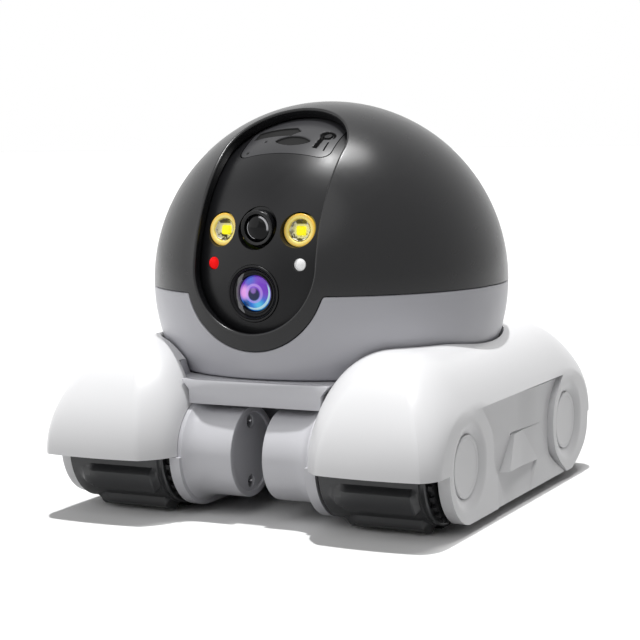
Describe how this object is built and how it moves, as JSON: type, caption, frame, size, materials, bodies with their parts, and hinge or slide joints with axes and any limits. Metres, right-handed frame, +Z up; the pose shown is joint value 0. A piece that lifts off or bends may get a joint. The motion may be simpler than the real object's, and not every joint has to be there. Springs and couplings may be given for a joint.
{
  "type": "robotic pet camera",
  "caption": "Small tracked robot with a turning ball head and a tilting camera eye with lens, lamps and sensor.",
  "frame": {"origin": "floor level under the middle of the overall box, midway between the axles", "axes": "+X to the side, +Y to the rear, +Z up; the face and the fascia look along -Y"},
  "size_m": [0.1082, 0.12, 0.1038],
  "materials": {
    "pod_white": "gloss",
    "frame_grey": "satin",
    "tub_grey": "matte",
    "track_rubber": "matte",
    "wheel_grey": "satin",
    "steel": "brushed",
    "motor_metal": "satin",
    "battery_wrap": "gloss",
    "board_green": "satin",
    "speaker_black": "matte",
    "port_metal": "satin",
    "button_grey": "satin",
    "gear_white": "satin",
    "inner_black": "matte",
    "lower_grey": "satin",
    "dome_black": "satin",
    "eye_black": "gloss",
    "lens_glass": "coated",
    "lamp_chrome": "polished",
    "lamp_yellow": "gloss",
    "sensor_black": "gloss",
    "dot_red": "gloss",
    "dot_white": "gloss"
  },
  "bodies": {
    "chassis": {"battery_door": "tub_grey", "battery_pack": "battery_wrap", "chassis_tub": "tub_grey", "deck": "frame_grey", "door_screws": "steel", "front_fascia": "frame_grey", "left_axle_pins": "steel", "left_drive_motor": "motor_metal", "left_hub_caps": "pod_white", "left_motor_cap": "frame_grey", "left_motor_housing": "frame_grey", "left_pod_cover": "pod_white", "left_side_frame": "frame_grey", "left_side_insert": "pod_white", "left_track": "track_rubber", "main_board": "board_green", "motor_cap_screws": "steel", "pan_motor": "motor_metal", "right_axle_pins": "steel", "right_drive_motor": "motor_metal", "right_hub_caps": "pod_white", "right_motor_cap": "frame_grey", "right_motor_housing": "frame_grey", "right_pod_cover": "pod_white", "right_side_frame": "frame_grey", "right_side_insert": "pod_white", "right_track": "track_rubber", "speaker": "speaker_black", "usb_port": "port_metal"},
    "head": {"turntable": "inner_black", "pan_gear": "gear_white", "lower_shell": "lower_grey", "upper_shell": "dome_black", "tilt_bracket": "inner_black", "tilt_motor": "motor_metal", "head_board": "board_green"},
    "eye": {"eye_shell": "eye_black", "service_plate": "eye_black", "lens_bezel": "eye_black", "lens_barrel": "eye_black", "lens_glass": "lens_glass", "left_lamp_cup": "lamp_chrome", "right_lamp_cup": "lamp_chrome", "lamp_chips": "lamp_yellow", "sensor_dome": "sensor_black", "red_indicator": "dot_red", "white_sensor": "dot_white", "image_board": "board_green", "tilt_gear": "gear_white"},
    "left_drive_wheel": {"left_sprocket": "wheel_grey"},
    "right_drive_wheel": {"right_sprocket": "wheel_grey"},
    "left_rear_wheel": {"left_idler": "wheel_grey"},
    "right_rear_wheel": {"right_idler": "wheel_grey"},
    "left_roller": {"left_road_roller": "wheel_grey"},
    "right_roller": {"right_road_roller": "wheel_grey"},
    "pan_drive": {"pan_pinion": "gear_white"},
    "tilt_drive": {"tilt_pinion": "gear_white"},
    "power_key": {"power_button": "button_grey"},
    "reset_key": {"reset_button": "button_grey"}
  },
  "joints": [
    {"name": "head_pan", "type": "hinge", "parent": "chassis", "child": "head", "pos_m": [0, 0.0007, 0.035], "axis": [0, 0, 1], "range_deg": [-165, 165]},
    {"name": "eye_tilt", "type": "hinge", "parent": "head", "child": "eye", "pos_m": [0, 0.0007, 0.0568], "axis": [-1, 0, 0], "range_deg": [0, 45]},
    {"name": "left_drive", "type": "hinge", "parent": "chassis", "child": "left_drive_wheel", "pos_m": [-0.0355, -0.0368, 0.0163], "axis": [1, 0, 0], "continuous": true},
    {"name": "right_drive", "type": "hinge", "parent": "chassis", "child": "right_drive_wheel", "pos_m": [0.0355, -0.0368, 0.0163], "axis": [1, 0, 0], "continuous": true},
    {"name": "left_rear_turn", "type": "hinge", "parent": "chassis", "child": "left_rear_wheel", "pos_m": [-0.0355, 0.0368, 0.0163], "axis": [1, 0, 0], "continuous": true},
    {"name": "right_rear_turn", "type": "hinge", "parent": "chassis", "child": "right_rear_wheel", "pos_m": [0.0355, 0.0368, 0.0163], "axis": [1, 0, 0], "continuous": true},
    {"name": "left_roller_turn", "type": "hinge", "parent": "chassis", "child": "left_roller", "pos_m": [-0.0355, 0, 0.0087], "axis": [1, 0, 0], "continuous": true},
    {"name": "right_roller_turn", "type": "hinge", "parent": "chassis", "child": "right_roller", "pos_m": [0.0355, 0, 0.0087], "axis": [1, 0, 0], "continuous": true},
    {"name": "pan_pinion_turn", "type": "hinge", "parent": "chassis", "child": "pan_drive", "pos_m": [0, 0.0169, 0.0277], "axis": [0, 0, 1], "range_deg": [-580, 580]},
    {"name": "tilt_pinion_turn", "type": "hinge", "parent": "head", "child": "tilt_drive", "pos_m": [0.0241, 0.01629, 0.0478], "axis": [-1, 0, 0], "range_deg": [-184, 4]},
    {"name": "power_press", "type": "slide", "parent": "chassis", "child": "power_key", "axis": [0, -1, 0], "range_m": [0, 0.0008], "stiffness_N_per_m": 400},
    {"name": "reset_press", "type": "slide", "parent": "eye", "child": "reset_key", "axis": [0, 0.4848, -0.8746], "range_m": [0, 0.0006], "stiffness_N_per_m": 300}
  ],
  "couplings": [
    {"joint": "left_rear_turn", "follows": "left_drive", "ratio": 1},
    {"joint": "right_rear_turn", "follows": "right_drive", "ratio": 1},
    {"joint": "left_roller_turn", "follows": "left_drive", "ratio": 2.6413},
    {"joint": "right_roller_turn", "follows": "right_drive", "ratio": 2.6413},
    {"joint": "pan_pinion_turn", "follows": "head_pan", "ratio": -3.5},
    {"joint": "tilt_pinion_turn", "follows": "eye_tilt", "ratio": -4}
  ]
}
